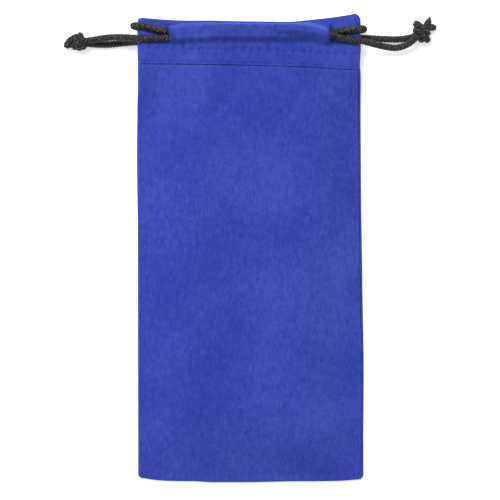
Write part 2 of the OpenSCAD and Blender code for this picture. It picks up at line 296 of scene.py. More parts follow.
def sewingThread():
    # Spun polyester sewing thread, two ply: a shade deeper than the cloth, with the
    # slant of its twist and a little more shine.
    look = {"dark": "#25318c", "light": "#3d4eb0", "twist": 0.45}  # mm a turn of the twist
    material, tree, shader = startMaterial("spun polyester thread, blue")
    place = addNode(tree, "ShaderNodeUVMap", uv_map="along").outputs[0]
    slant = addNode(tree, "ShaderNodeMapping", {
        "Vector": place, "Scale": (1 / look["twist"], 2.0, 1.0),
        "Rotation": (0, 0, 0.6)})
    twist = addNode(tree, "ShaderNodeTexWave", {
        "Vector": slant.outputs[0], "Scale": 0.35, "Distortion": 0.6},
        bands_direction="X")
    colour = ramp(tree, twist.outputs["Fac"], [
        (0.1, linear(look["dark"])), (0.9, linear(look["light"]))])
    tree.links.new(colour, shader.inputs["Base Color"])
    bump = addNode(tree, "ShaderNodeBump", {
        "Height": twist.outputs["Fac"], "Strength": 0.5, "Distance": 0.00008})
    tree.links.new(bump.outputs["Normal"], shader.inputs["Normal"])
    shader.inputs["Roughness"].default_value = 0.6
    shader.inputs["Specular IOR Level"].default_value = 0.35
    return material


def braidedCord():
    # Braided polyester cord, charcoal: flat bundles of fine filaments that go over and
    # under, with painted shade near black in their gaps and painted grey-olive highlights
    # as random flecks.
    # the near-black gap colour is painted shade for the gaps between strands
    look = {"dark": "#0a0a0c", "middle": "#1e1e1e", "light": "#8f8d80", "gapShade": "#020203",
            "filament": 0.16,  # mm, drawn coarser than the real filament
            "girth": 3.1, "patchSize": 0.9}
    material, tree, shader = startMaterial("braided polyester cord, charcoal")
    place = addNode(tree, "ShaderNodeUVMap", uv_map="along").outputs[0]
    fine = addNode(tree, "ShaderNodeMapping", {
        "Vector": place, "Scale": (0.7, look["girth"] / look["filament"], 1.0)})
    filaments = addNode(tree, "ShaderNodeTexNoise", {
        "Vector": fine.outputs[0], "Scale": 1.0, "Detail": 3.0, "Roughness": 0.65})
    where = addNode(tree, "ShaderNodeTexCoord").outputs["Object"]
    patches = addNode(tree, "ShaderNodeTexNoise", {
        "Vector": where, "Scale": 1000 / look["patchSize"], "Detail": 2.0})
    both = addNode(tree, "ShaderNodeMix", {
        "Factor": 0.3, "A": filaments.outputs["Fac"], "B": patches.outputs["Fac"]})
    # painted highlights: the pale grey-olive stop of this ramp puts glints as random flecks
    # along the filaments
    colour = ramp(tree, both.outputs["Result"], [
        (0.36, linear(look["dark"])), (0.52, linear(look["middle"])),
        (0.68, linear(look["light"]))])
    # painted shade: the cosine of the angle round a strand keeps the colour on its outer
    # face and paints it near black towards the gaps between strands, where shade falls
    share = addNode(tree, "ShaderNodeSeparateXYZ", {"Vector": place}).outputs["Y"]
    angle = addNode(tree, "ShaderNodeMath", {0: share, 1: 2 * math.pi, 2: math.pi / 8},
                    operation="MULTIPLY_ADD")
    facing = addNode(tree, "ShaderNodeMath", {0: angle.outputs[0]}, operation="COSINE")
    outer = addNode(tree, "ShaderNodeMapRange", {
        "Value": facing.outputs[0], "From Min": 0.45, "From Max": 0.97})
    gapShaded = addNode(tree, "ShaderNodeMix", {
        "Factor": outer.outputs[0], "A": linear(look["gapShade"]), "B": colour},
        data_type="RGBA")
    tree.links.new(gapShaded.outputs["Result"], shader.inputs["Base Color"])
    bump = addNode(tree, "ShaderNodeBump", {
        "Height": filaments.outputs["Fac"], "Strength": 0.8, "Distance": 0.0001})
    tree.links.new(bump.outputs["Normal"], shader.inputs["Normal"])
    shader.inputs["Roughness"].default_value = 0.55
    shader.inputs["Specular IOR Level"].default_value = 0.4
    return material


cloth = suede()
thread = sewingThread()
cordFinish = braidedCord()
print("materials made")

# The cords
cordPlan = {
    "diameter": 2.5, "reach": 1.42,  # mm, and from the cord's line to its outer face
    "strandPitch": 5.2, "strandWide": 0.47, "strandThick": 0.33,  # half sizes of a strand
    "centre": 0.95, "weaveDepth": 0.2, "core": 0.7, "step": 0.27, "roundedEnd": 1.1,
    "spanParts": 12,  # points between two given points of a route
}
ply, air = 0.4, 0.08  # mm, thickness of the cloth and the gap between two plies
runZ, overZ, tailZ, underZ = 10.17, 12.83, 1.73, 4.39
turnR, turnZ, lowZ = 4.22, 5.95, 1.25
leftRoute = [
    [-65.6, 82.9, 5.1], [-61, 83.7, 5], [-56, 84.2, 6.4], [-50, 84, 8.8],
    [-45, 83.5, runZ - 0.1], [-39, 83.5, runZ], [-32, 83.8, runZ], [-24, 84.4, runZ],
    [-12, 84.9, runZ], [0, 84.9, runZ], [12, 84.8, runZ], [20, 85.1, runZ],
    [26, 85.6, runZ], [33, 86, runZ], [38, 86.6, runZ], [41.5, 87.1, runZ],
    [41.3 + turnR * 0.87, 87.5, turnZ + turnR * 0.5],
    [41.3 + turnR * 0.87, 87.5, turnZ - turnR * 0.5],
    [41.5, 87.3, tailZ], [37, 87.1, tailZ], [30, 86.9, tailZ], [14, 87, tailZ],
    [0, 87, tailZ], [-8, 86.9, mix(tailZ, underZ, 0.6)], [-13, 86.3, underZ],
    [-18, 85, underZ], [-23, 83.8, underZ], [-28, 83.3, mix(tailZ, underZ, 0.6)],
    [-34, 83.2, tailZ], [-40, 83.1, tailZ], [-46, 82.9, tailZ - 0.2],
    [-52, 82.4, lowZ + 0.15], [-58, 81.9, lowZ + 0.15], [-63, 82, 1.8],
    [-65.8, 82.2, 2.3]]
rightRoute = [
    [66.6, 84.7, 5.2], [63.4, 81.9, 4.6], [58.7, 80.3, 4.3], [53, 80.8, 5.6],
    [48.5, 81.6, 8.2], [44, 82.5, runZ], [39, 83, runZ + 0.1],
    [35, 83.8, runZ + 1], [30, 84.9, overZ], [25, 86.2, overZ], [20, 87.1, overZ],
    [15, 87.4, mix(runZ, overZ, 0.8)], [8, 87.5, runZ + 0.1], [0, 87.5, runZ],
    [-12, 87.5, runZ], [-24, 87, runZ], [-32, 86.3, runZ], [-38, 87.3, runZ],
    [-42.4, 88.4, runZ],
    [-42.5 - turnR * 0.87, 88.8, turnZ + turnR * 0.5],
    [-42.5 - turnR * 0.87, 88.8, turnZ - turnR * 0.5],
    [-42.4, 88.4, tailZ], [-37, 87.5, tailZ], [-30, 86.8, tailZ],
    [-24, 86.3, tailZ], [-18, 85.1, tailZ], [-12, 84, tailZ], [-4, 83.6, tailZ],
    [14, 83.8, tailZ], [30, 84, tailZ], [38, 84.3, tailZ], [44, 84.5, tailZ],
    [50, 84.3, lowZ + 0.2], [56, 84, lowZ + 0.15], [61, 84.1, 1.6], [65, 84.8, 2],
    [66.9, 85.6, 2.3]]


def braid(line, reference, squeeze=1.0, tip=1.0):
    # Eight flat strands round a core. Four wind one way and four the other, at the angle
    # a quarter turn apart plus or minus one turn a strand pitch, and the two sets go in
    # and out against each other with the cosine of four times that turn.
    plan = cordPlan
    line, run = evenly(line, plan["step"])
    squeeze = squeeze * mix(1, tip, smooth((run / run[-1] - 0.55) / 0.45))
    last = clamp(1 - (run[-1] - run) / plan["roundedEnd"])  # the last stretch rounds off
    squeeze = squeeze * np.sqrt(1 - (0.85 * last) ** 2)
    way = unit(np.gradient(line, axis=0))
    side = unit(reference - np.sum(reference * way, -1, keepdims=True) * way)
    other = np.cross(way, side)
    wind = 2 * np.pi * run / plan["strandPitch"]
    hand = np.repeat([1, -1], 4)[:, None]
    turn = np.tile(np.arange(4) * np.pi / 2, 2)[:, None] + hand * wind
    out = np.cos(turn)[..., None] * side + np.sin(turn)[..., None] * other
    far = (plan["centre"] + hand * plan["weaveDepth"] * np.cos(4 * wind)) * squeeze
    strands = tubes(line + far[..., None] * out, out,
                    plan["strandThick"] * squeeze, plan["strandWide"] * squeeze)
    core = tubes(line[None], np.broadcast_to(side, line.shape)[None],
                 plan["core"] * squeeze, plan["core"] * squeeze)
    return joined([strands, core])


def cordPiece(name, route, body, node):
    line = bend(route, cordPlan["spanParts"])
    points, faces, uv = braid(line, northward)
    piece = makePiece(name, points, faces, cordFinish, uv)
    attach(piece, body)
    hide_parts(node)


def knotPiece(name, centre, axis, radii, bulge, reach, lean, body, node):
    # Two wraps of the cord side by side round the knot's axis, and the pair they grip.
    # A wrap's radius eases from one given value to the next and is largest in the middle
    # of the knot, as the square root of 1 minus the bulge times the place squared, and
    # its ends tuck inwards.
    axis = unit(np.array(axis, float))
    across = np.cross(upward, axis)
    t = np.linspace(0, 1, 200)
    angle = 2 * np.pi * 2.3 * t + lean
    radius = mix(radii[0], radii[1], smooth((t - 0.35) / 0.3))
    radius = radius * np.sqrt(1 - bulge * (2 * t - 1) ** 2)
    radius = radius * (1 - 0.6 * smooth((0.1 - t) / 0.1) - 0.6 * smooth((t - 0.9) / 0.1))
    tall = np.minimum(radius, centre[2] - cordPlan["reach"])
    line = (np.array(centre) + axis * ((t - 0.5) * reach)[:, None]
            + across * (np.cos(angle) * radius)[:, None]
            + upward * (np.sin(angle) * tall)[:, None])
    wraps = braid(line, axis)
    inside = np.array(centre) + axis * np.linspace(-reach * 0.62, reach * 0.66, 30)[:, None]
    pair = [braid(inside + across * k * 0.8, upward, 0.85) for k in (-1, 1)]
    points, faces, uv = joined([wraps] + pair)
    piece = makePiece(name, points, faces, cordFinish, uv)
    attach(piece, body)
    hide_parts(node)
    return piece


def endsPiece(name, lines, tips, body, node):
    # the cut ends: each is drawn in towards its tip by its own share
    points, faces, uv = joined(
        [braid(bend(line, cordPlan["spanParts"]), upward, 1.0, tip)
         for line, tip in zip(lines, tips)])
    piece = makePiece(name, points, faces, cordFinish, uv)
    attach(piece, body)
    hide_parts(node)
    return piece


leftKnot = knotPiece("leftKnot", (-68.8, 82.75, 3.65), (1, 0.12, 0), (2.1, 2.5), 0.2, 4.1,
                     2.2, "left_drawstring", "left_knot")
leftEnds = endsPiece("leftCordEnds", [
    [[-69.6, 84.0, 4.4], [-71.0, 84.0, 4.3], [-72.3, 83.3, 3.5], [-73.2, 82.3, 2.6],
     [-73.9, 80.6, 1.9]],
    [[-69.4, 81.6, 2.9], [-70.9, 81.5, 2.3], [-71.9, 81.8, 1.9], [-72.5, 82.1, 1.7]]],
    (1.12, 0.9), "left_drawstring", "left_cord_ends")
rightKnot = knotPiece("rightKnot", (68.35, 86.25, 3.65), (0.756, 0.655, 0), (2.2, 4.0), 0.1,
                      3.9, 1.2, "right_drawstring", "right_knot")
rightEnds = endsPiece("rightCordEnds", [
    [[69.3, 87.3, 4.6], [70.3, 88.8, 4.6], [71.2, 90.3, 3.7], [71.8, 91.6, 2.7],
     [72.15, 93.1, 2.0]],
    [[69.9, 87.2, 3.4], [71.5, 88.3, 3.1], [73.0, 88.7, 2.4], [74.5, 88.4, 2.1]]],
    (0.3, 1.05), "right_drawstring", "right_cord_ends")
cordPiece("leftCord", leftRoute, "left_drawstring", "left_cord")
cordPiece("rightCord", rightRoute, "right_drawstring", "right_cord")
print("cords and knots made")

# Shape of the pouch
pouch = {
    "halfWidth": 44.7, "halfLength": 93.4, "bodyHeight": 8.4, "foldRadius": 1.2,
    "headRadius": 2.89, "lift": 3.06, "frontTop": 8.84,
    "cornerLeft": 1.9, "cornerRight": 2.3,  # plan radii of the two bottom corners
    "slitX": 32.0, "slitLow": 82.2, "slitHigh": 89.0, "slitLean": 0.34,
    "lipIn": -0.15, "lipOut": 0.25,  # how far the two lips of a slit are drawn apart
    "halfFlat": 41.85,  # half of the header's flat width, between the rolls
    "rowsHalf": 42,  # half the length of the rows of stitches
    "stitchPitch": 3.4, "rowsShift": -0.6,
}
halfW, halfL = pouch["halfWidth"], pouch["halfLength"]
plies = 2 * ply + air  # two plies with the air between them
foldR = plies / 2  # radius of the fold at the mouth


def edgeX(side, y):
    # the outline of each side: straight lines that narrow towards the mouth, with the
    # soft swell and the nick at the hem that hand sewing leaves, as bell curves
    left = (halfW + 0.25 + 0.15 * y / halfL + 0.32 * smooth((66 - y) / 10)
            + 0.3 * hump(y - 36, 18))
    right = (halfW + 0.25 - 0.6 * y / halfL - 0.3 * hump(y - 74, 3)
             - 0.2 * smooth((y + 5) / 25) + 0.4 * hump(y + 46, 24))
    return np.where(side < 0, -left, right)


def bottomY(x):  # the bottom edge sags right of its middle and lifts at both corners
    sag = 0.4 * smooth((x + 24) / 8) * smooth((22 - x) / 26)
    corner = np.where(x < 0, 1.2, 0.7) * (np.abs(x) / halfW) ** 8
    return -halfL - 0.35 - sag + corner


def topY(x):
    # the mouth: two slow rises towards the sides, a low wave between them, and the two
    # corners turned down
    return (halfL - 3 + 3 * (np.maximum(0, x - 4) / 38) ** 2.4
            + 1.7 * (np.maximum(0, -20 - x) / 25) ** 1.5
            + 0.38 * hump(x + 17, 11) - 0.28 * hump(x - 16, 6)
            - 2.2 * (np.maximum(0, x - 41.8) / 2.6) ** 3
            - 1.1 * (np.maximum(0, -x - 42.8) / 1.7) ** 3)


def channelRow(x):  # the row of stitches under the cords, slightly bowed
    return 80.1 - 0.032 * x - 0.0004 * x * x


def hemRow(x):  # the row of stitches that holds the hem
    return 73.05 - 0.024 * x - 0.0002 * x * x - 0.3 * smooth((x - 20) / 20)


def foldY(x):
    return topY(x) - foldR


def head(y):
    return smooth((y - 50) / 28)


def edgeR(y):
    return mix(pouch["foldRadius"], pouch["headRadius"], head(y))


def edgeZ(y):
    return mix(pouch["foldRadius"], pouch["lift"] + pouch["headRadius"], head(y))


def outAt(x, y, inboard):
    # 0 where a ply goes over or under the cords, 1 outside the buttonholes, and a clean
    # step between the buttonhole's two lips
    lips = (smooth((y - pouch["slitLow"]) / 1.0) * smooth((pouch["slitHigh"] - y) / 1.0))
    common = smooth((np.abs(x) - pouch["slitX"] + 1.5) / 2.5)
    return np.where(inboard, common * (1 - lips), mix(common, 1, lips))


def frontPass(route):
    # a cord's pass through the front channel: its y and z for any x
    line = bend(route, cordPlan["spanParts"])
    here = line[(line[:, 2] > 8) & (np.abs(line[:, 0]) < 44)]
    here = here[np.argsort(here[:, 0])]
    return lambda x: (np.interp(x, here[:, 0], here[:, 1]),
                      np.interp(x, here[:, 0], here[:, 2]))


frontPasses = [frontPass(leftRoute), frontPass(rightRoute)]


def frontBulge(x, y):
    # The channel draped over the cords: a flat-topped bell over each cord, as high as its
    # top: e to the power of minus (distance / width) to the 2.9. The cube root of the
    # sum of the bells' cubes lets the cloth span the gap between two cords.
    total = 0
    for placeOf in frontPasses:
        cordY, cordZ = placeOf(x)
        top = cordZ + cordPlan["reach"] + ply - pouch["frontTop"]
        extra = np.maximum(0, top - 3.3)  # a cord on top of the other one
        width = np.where(y < cordY, 2.1 + 0.34 * extra, 2.4 + 0.16 * extra)
        total = total + (top * np.exp(-(np.abs(y - cordY) / width) ** 2.9)) ** 3
    window = smooth((y - channelRow(x) + 0.2) / 1.8) * smooth((foldY(x) - y) / 1.0)
    return np.cbrt(total) * window


creases = [  # x, y to x, y, depth, width: soft folds that lie in the cloth, in mm
    (-5.6, 62, -20, 50, 0.30, 2.0), (19.6, 63, 5.2, 39, 0.28, 2.2),
    (30.4, 60, 40.8, 48, 0.55, 1.5), (22.8, 48.8, 29.6, 39, 0.28, 1.8),
    (-36, 18, -24, 3.6, 0.25, 2.0), (-37.6, 70, -36.5, 44, 0.45, 3.2),
    (-17.6, -77, 0, -86, 0.18, 2.5), (15.6, -65.6, 22, -88, 0.2, 2.4),
    (-12, 20, 16, -8, 0.12, 5.0), (8, -20, -18, -48, 0.12, 6.0)]


def creased(x, y):
    # each fold is a bell-shaped valley with a lower ridge beside it, eased at its ends
    total = 0
    for x0, y0, x1, y1, depth, width in creases:
        run = math.hypot(x1 - x0, y1 - y0)
        ux, uy = (x1 - x0) / run, (y1 - y0) / run
        along = ((x - x0) * ux + (y - y0) * uy) / run
        off = (y - y0) * ux - (x - x0) * uy
        ends = smooth((along + 0.25) / 0.4) * smooth((1.25 - along) / 0.4)
        ridge, valley = hump(off - 1.5 * width, width), hump(off, width)
        total = total + 1.7 * depth * ends * (0.55 * ridge - valley)
    return total


def sewn(x, y):
    # the dips and puckers along the two rows of stitches
    step = pouch["stitchPitch"]
    phase = 2 * np.pi * (x - pouch["rowsShift"]) / step
    hole = (x - pouch["rowsShift"]) / step - 0.5
    hole = (hole - np.round(hole)) * step
    onHem = y - hemRow(x)
    onChannel = y - channelRow(x) + 0.8
    wander = 1 + 0.5 * softNoise(x, y, 5, 30, 11)
    slope = np.where(onHem > 0, np.exp(-onHem / 1.6), hump(onHem, 0.3))
    hem = (-(0.6 * slope + 1.1 * hump(onHem - 0.1, 0.55)) * (0.8 + 0.2 * np.cos(phase))
           + 0.10 * np.cos(phase) * np.exp(-np.abs(onHem) / 1.6) * wander)
    channel = (-0.10 * hump(onChannel, 0.7)
               - 0.85 * hump(hole, 0.46) * hump(onChannel, 0.45)
               + 0.16 * np.cos(phase) * np.exp(-np.abs(onChannel - 0.5) / 1.9) * wander)
    return hem + channel


def frontBase(x, y):
    # clean height of the front: from the side rolls it rises to a crown, as
    # 1 - (1 - q) squared of the way in from the sides and up from the bottom
    side = np.where(x < 0, -1, 1)
    inset = side * (edgeX(side, y) - x) - edgeR(y)
    edge = edgeZ(y) + edgeR(y)
    crown = mix(pouch["bodyHeight"], pouch["frontTop"], smooth((y - 58) / 14))
    up = softRise((y - bottomY(x) - pouch["foldRadius"]) / 30)
    return edge + (crown - edge) * softRise(inset / 28) * up


def frontWaves(x, y):
    side = np.where(x < 0, -1, 1)
    inset = side * (edgeX(side, y) - x) - edgeR(y)
    calm = smooth(inset / 7) * smooth((y - bottomY(x) - 2) / 7)
    wide = 0.24 * softNoise(x, y, 24, 38, 1) + 0.10 * softNoise(x, y, 8, 15, 2)
    header = smooth((y - hemRow(x) + 4) / 4)
    return (wide * (1 - 0.6 * header) + creased(x, y)) * calm


def frontOuter(x, y, inboard):
    quiet = smooth((foldY(x) - y) / 1.6)
    over = 1 - outAt(x, y, inboard)
    inChannel = smooth((y - channelRow(x)) / 2) * smooth((foldY(x) - 0.6 - y) / 1.5)
    gather = (0.26 * softNoise(x, y, 2.3, 12, 5)
              + 0.12 * softNoise(x, y, 1.2, 7, 6)) * inChannel
    return (frontBase(x, y) + (frontWaves(x, y) + sewn(x, y)) * quiet
            + over * (frontBulge(x, y) + gather))


def backBase(x, y):  # the back lies on the table and lifts towards the cords' corners
    return (edgeZ(y) - edgeR(y)) * smooth((np.abs(x) - 22) / 16)


def backUnder(x, y, inboard):  # above the channel's row it lifts outside the slits
    return mix(backBase(x, y), pouch["lift"] * outAt(x, y, inboard),
               smooth((y - channelRow(x)) / 1.5))


def backOuter(x, y, inboard):
    rows = hump(y - hemRow(x), 0.4) + hump(y - channelRow(x) + 0.8, 0.4)
    waves = (0.16 * (1 + softNoise(x, y, 12, 22, 21)) + 0.18 * rows) * smooth(
        (y - bottomY(x) - 1.5) / 6) * smooth((foldY(x) - y) / 2)
    return backUnder(x, y, inboard) + waves


def backInner(x, y, inboard):
    # the back hem goes over the cords, one pile higher where they cross
    opened = smooth((y - channelRow(x)) / 1.1) * smooth((foldY(x) - y) / 1.1)
    outer = backUnder(x, y, inboard)
    crossing = 2.66 * smooth((x + 35) / 9) * smooth(-x / 9)
    roof = pouch["lift"] + 0.15 + (ply + air) * outAt(x, y, inboard) + crossing + ply
    return mix(outer + plies, roof, opened)


# The cloth pieces
bodyPlan = {"wideCells": 58, "edgeCells": 11, "edgeFrom": 0.93, "rollCells": 20,
            "arcRows": 8, "longRows": 196, "topRows": 22, "topFrom": 66.0,
            "flat": (0.092, 0.168)}  # m, cut size of half the bag below the hem
headerPlan = {"inCells": 92, "outCells": 26, "rollCells": 18,
              "rows": (19, 6, 36, 8, 8, 12, 10),
              "flat": (0.094, 0.040)}  # m, cut size of half the band over the cords


def gathering(piece):
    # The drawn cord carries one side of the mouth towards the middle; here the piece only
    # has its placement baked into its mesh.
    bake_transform(piece)


def sideCurve(side, y, turn, cut, height):
    # a point of the roll at the side: half a circle, or half an ellipse near the bottom
    r = edgeR(y)
    middle = edgeX(side, y) - side * (r + cut)
    return middle + side * r * np.cos(turn), edgeZ(y) + height * np.sin(turn)


def groove(side, y, turn):
    # how far the roll is pulled in: by the rows of stitches that run out over it, and on
    # the right by the side seam's line near the edge
    r = edgeR(y)
    rows = -sewn(edgeX(side, y) - side * r, y) * smooth((np.sin(turn) + 0.3) / 0.9)
    if side < 0:
        return rows
    inFromEdge = r * (1 - np.cos(turn))
    front = smooth((np.sin(turn) + 0.1) / 0.2)
    fade = mix(0.3, 1.0, smooth((73.5 - y) / 3)) * smooth((y + halfL - 3) / 4)
    return rows + 1.1 * hump(inFromEdge - 0.55, 0.4) * fade * front


def bodyCloth(name, side, nodes):
    plan = bodyPlan
    flat = np.concatenate([np.linspace(0, plan["edgeFrom"], plan["wideCells"] + 1),
                           np.linspace(plan["edgeFrom"], 1, plan["edgeCells"] + 1)[1:]])
    turns = np.radians(np.linspace(90, -90, plan["rollCells"] + 1))
    s = np.concatenate([flat, np.ones(plan["rollCells"] - 1), flat[::-1]])[:, None]
    turn = np.concatenate([np.full(len(flat), turns[0]), turns[1:-1],
                           np.full(len(flat), turns[-1])])[:, None]
    fold = pouch["foldRadius"]
    arc = np.radians(np.linspace(90, 0, plan["arcRows"] + 1))[:-1]
    x0 = side * s * halfW
    start, top = bottomY(x0) + fold, hemRow(side * s * pouch["rowsHalf"])
    low = mix(start, plan["topFrom"], np.linspace(0, 1, plan["longRows"] + 1)[None, :-1])
    closer = 1 - np.linspace(1, 0, plan["topRows"] + 1)[None, :] ** 1.5
    high = mix(plan["topFrom"], top, closer)  # rows close up towards the hem's stitches
    y = np.concatenate([start - fold * np.sin(arc), low, high], 1)
    squash = np.concatenate([np.cos(arc), np.ones(low.shape[1] + high.shape[1])])[None]
    corner = pouch["cornerLeft"] if side < 0 else pouch["cornerRight"]
    up = np.clip((y - (start - fold)) / corner, 0, 1)
    cut = corner * (1 - np.sqrt(1 - (1 - up) ** 2))
    height = edgeR(y) * squash
    rollX, rollZ = sideCurve(side, y, turn, cut, height)
    inner = edgeX(side, y) - side * (edgeR(y) + cut)
    flatX = inner * s
    isRoll = (s == 1) & (np.abs(turn) < 1.57)
    x = np.where(isRoll, rollX, flatX)
    front = frontOuter(flatX, y, True) - edgeR(y) * (1 - squash)
    back = backOuter(flatX, y, True) + edgeR(y) * (1 - squash)
    z = np.where(isRoll, rollZ, np.where(turn > 0, front, back))
    dent = groove(side, y, turn)
    x = x - side * dent * np.cos(turn) * isRoll
    z = z - dent * np.sin(turn) * isRoll
    points = np.stack([x, y + 0 * x, z], -1)
    index = np.arange(x.size).reshape(x.shape)
    half = len(s) // 2
    index[-half:, 0] = index[:half, 0][::-1]  # front and back share the bottom edge
    keep = np.ones((x.shape[0] - 1, x.shape[1] - 1), bool)
    solid, faces = closedSheet(points, index, keep, ply, side < 0)
    piece = makePiece(name, solid, faces, cloth)
    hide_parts(*nodes)
    return piece


def leanOf(side, y):  # the left buttonholes lean in towards the bottom
    return pouch["slitLean"] * (85.5 - y) * (side < 0)


def headerCloth(name, side, nodes):
    # One ply from the hem row up over the cords, round the fold at the mouth and down
    # inside to the hem row again. The cell at each buttonhole is split into two lips.
    plan = headerPlan
    slit = pouch["slitX"] / pouch["halfFlat"]
    flat = np.concatenate([np.linspace(0, slit, plan["inCells"] + 1),
                           np.linspace(slit, 1, plan["outCells"] + 1)])
    inboardFlat = np.arange(len(flat)) <= plan["inCells"]
    turns = np.radians(np.linspace(90, -90, plan["rollCells"] + 1))
    rolls = np.ones(plan["rollCells"] - 1)
    s = np.concatenate([flat, rolls, flat[::-1]])[:, None]
    inboard = np.concatenate(
        [inboardFlat, np.zeros(len(rolls), bool), inboardFlat[::-1]])[:, None]
    turn = np.concatenate([np.full(len(flat), turns[0]), turns[1:-1],
                           np.full(len(flat), turns[-1])])[:, None]
    x0 = side * (s * pouch["rowsHalf"] + 2.4 * np.cos(turn))
    low, high = pouch["slitLow"], pouch["slitHigh"]
    rows = plan["rows"]
    part = lambda n: np.linspace(0, 1, n + 1)[None]
    hem, channel, fold = hemRow(x0), channelRow(x0), foldY(x0)
    outerY = np.concatenate([
        mix(hem, channel, part(rows[0]) ** 1.5)[:, :-1],
        mix(channel, low, part(rows[1]))[:, :-1],
        mix(low, high, part(rows[2])) + 0 * x0, mix(high, fold, part(rows[3]))[:, 1:]], 1)
    bent = np.pi * part(rows[4])[:, 1:]
    foldRows = fold + foldR * np.sin(bent)
    innerY = np.concatenate([
        mix(fold, high, part(4))[:, 1:], mix(high, low, part(rows[5]))[:, 1:] + 0 * x0,
        mix(low, channel, part(3))[:, 1:], mix(channel, hem, part(rows[6]))[:, 1:]], 1)
    nOuter, nFold = outerY.shape[1], foldRows.shape[1]
    y = np.concatenate([outerY, foldRows, innerY], 1)
    row = np.arange(y.shape[1])[None]
    isOuter, isInner = row < nOuter, row >= nOuter + nFold
    shapeY = np.minimum(y, fold)
    deep = np.where(isOuter, 0, plies)  # how far the ply has gone in from the outer face
    deep[:, nOuter:nOuter + nFold] = foldR * (1 - np.cos(bent))
    inner = edgeX(side, shapeY) - side * edgeR(shapeY)
    lips = smooth((y - low) / 1.5) * smooth((high - y) / 1.5) * isOuter
    atLip = np.abs(s - slit) < 1e-6
    slant = leanOf(side, y) * lips * smooth(1 - np.abs(s - slit) / 0.2)
    apart = np.where(inboard, pouch["lipIn"], pouch["lipOut"])
    flatX = inner * s + side * lips * atLip * apart + slant
    isRoll = (s == 1) & (np.abs(turn) < 1.57)
    radius = edgeR(shapeY) - deep
    front = np.where(isInner, frontBase(flatX, shapeY) - plies,
                     frontOuter(flatX, shapeY, inboard) - deep)
    back = np.where(isInner, backInner(flatX, shapeY, inboard),
                    backOuter(flatX, shapeY, inboard) + deep)
    dent = groove(side, shapeY, turn) * isOuter
    x = np.where(isRoll, inner + side * (radius - dent) * np.cos(turn), flatX)
    z = np.where(isRoll, edgeZ(shapeY) + (radius - dent) * np.sin(turn),
                 np.where(turn > 0, front, back))
    points = np.stack([x, y, z], -1)
    index = np.arange(x.size).reshape(x.shape)
    a, n = plan["inCells"], len(s)
    openRows = np.zeros(y.shape[1], bool)
    openRows[rows[0] + rows[1] + 1:rows[0] + rows[1] + rows[2]] = True
    for left in (a, n - 2 - a):  # the pair of columns at each lip is one where shut
        index[left + 1, ~openRows] = index[left, ~openRows]
    keep = np.ones((n - 1, y.shape[1] - 1), bool)
    keep[[a, n - 2 - a]] = False
    solid, faces = closedSheet(points, index, keep, ply, side < 0)
    piece = makePiece(name, solid, faces, cloth)
    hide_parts(*nodes)
    return piece


headerNodes = ("front_channel", "back_channel", "front_mouth_fold", "back_mouth_fold",
               "front_hem", "back_hem")
for side, word, edge in ((-1, "Left", "left_fold"), (1, "Right", "side_seam")):
    body = bodyCloth("bodyCloth" + word, side,
                     ("front_panel", "back_panel", "bottom_seam", edge))
    gathering(body)
    header = headerCloth("headerCloth" + word, side, headerNodes + (edge,))
    gathering(header)
print("cloth made")

# Seam allowances
allowancePlan = {"cell": 1.1, "height": 1.45, "wave": 0.15, "thickness": 0.8}


def allowance(name, x0, x1, y0, y1, node):
    # two plies turned inside beside a seam, lying on the back cloth: a slightly wavy strip
    plan = allowancePlan
    nx = max(4, int((x1 - x0) / plan["cell"]))
    ny = max(4, int((y1 - y0) / plan["cell"]))
    x, y = np.meshgrid(np.linspace(x0, x1, nx), np.linspace(y0, y1, ny), indexing="ij")
    z = plan["height"] + plan["wave"] * softNoise(x, y, 7, 9, 31) + backBase(x, y)
    points = np.stack([x, y, z], -1)
    index = np.arange(x.size).reshape(x.shape)
    keep = np.ones((nx - 1, ny - 1), bool)
    solid, faces = closedSheet(points, index, keep, plan["thickness"], False)
    piece = makePiece(name, solid, faces, cloth)
    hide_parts(node)
    return piece


sideAllowance = allowance("sideSeamAllowance", 37.9, 42.3, -85.4, 51.4,
                          "side_seam_allowance")
gathering(sideAllowance)
bottomAllowance = allowance("bottomSeamAllowance", -36.7, 32.7, -90.8, -86.4,
                            "bottom_seam_allowance")
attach(bottomAllowance, "pouch")

# Sewing thread
threadPlan = {"diameter": 0.34, "stitchShare": 0.76, "rowCount": 25, "dip": 0.32,
              "sides": 6, "fineRadius": 0.15, "barRadius": 0.17}
seamPlan = {"fromEnd": 9.4, "fromRight": 12, "sideTop": 49, "sideX": 42.7,
            "bottomY": -91.3, "height": 1.4, "dip": 0.2, "halfStitch": 0.4}
buttonholePlan = {
    "step": 0.38, "wander": 0.05,  # mm from stitch to stitch
    # a stitch's way over the lip: how far in from the lip, and how high over the cloth
    "reach": (1.15, 0.8, 0.35, 0.0, -0.16, 0.0, 0.4),
    "rise": (-0.1, 0.1, 0.16, 0.13, -0.2, -0.53, -0.55),
    "barFromSlit": 0.35, "barHalves": (1.0, 1.05, 0.95), "barPlaces": (-0.25, 0.0, 0.25),
}


def threads(x, y, z, across, radius):
    lines = np.stack([x, y, z], -1)
    return tubes(lines, np.broadcast_to(across, lines.shape), radius, radius,
                 threadPlan["sides"])


def stitches(centres, height, run, lean):
    # each stitch is an arch: it comes up out of the cloth, lies along it and goes down
    t = np.linspace(-1, 1, 7)
    half = run / 2
    x = centres[:, :1] + t * half
    y = centres[:, 1:2] + t * half * lean
    z = height(x, y) + 0.1 - threadPlan["dip"] * np.abs(t) ** 3
    radius = threadPlan["diameter"] / 2
    return threads(x, y + 0 * x, z, upward, radius)


def threadPiece(name, made, nodes, side):
    points, faces, uv = made
    piece = makePiece(name, points, faces, thread, uv)
    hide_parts(*nodes)
    if side:
        gathering(piece)
    else:
        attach(piece, "pouch")


